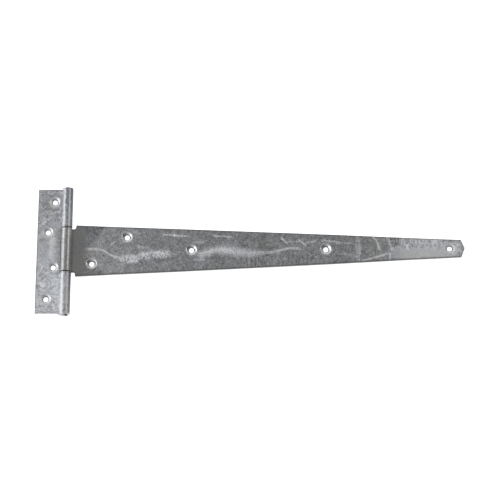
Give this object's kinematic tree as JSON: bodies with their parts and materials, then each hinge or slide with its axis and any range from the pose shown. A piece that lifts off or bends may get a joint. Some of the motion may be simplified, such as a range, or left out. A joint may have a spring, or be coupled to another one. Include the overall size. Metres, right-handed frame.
{
  "type": "tee hinge",
  "caption": "Galvanised tee hinge: a short frame leaf and a long tapered strap, rolled round a pin, with countersunk screw holes.",
  "frame": {"origin": "foot of the pin's axis on the plane of the two back faces, halfway along the pin", "axes": "+X runs along the strap to its tip, +Y along the pin, +Z out of the countersunk faces, away from the gate"},
  "size_m": [0.484, 0.1508, 0.012],
  "materials": {
    "zinc_leaf": "hot-dip galvanised, light grey and mottled",
    "zinc_strap": "hot-dip galvanised, mid grey with pale streaks",
    "zinc_pin": "hot-dip galvanised over hammered ends"
  },
  "bodies": {
    "frame_side": {"frame_leaf": "zinc_leaf", "hinge_pin": "zinc_pin"},
    "gate_side": {"strap": "zinc_strap"}
  },
  "joints": [
    {"name": "strap_swing", "type": "hinge", "parent": "frame_side", "child": "gate_side", "pos_m": [0, 0, 0.006], "axis": [0, -1, 0], "range_deg": [0, 180]}
  ]
}
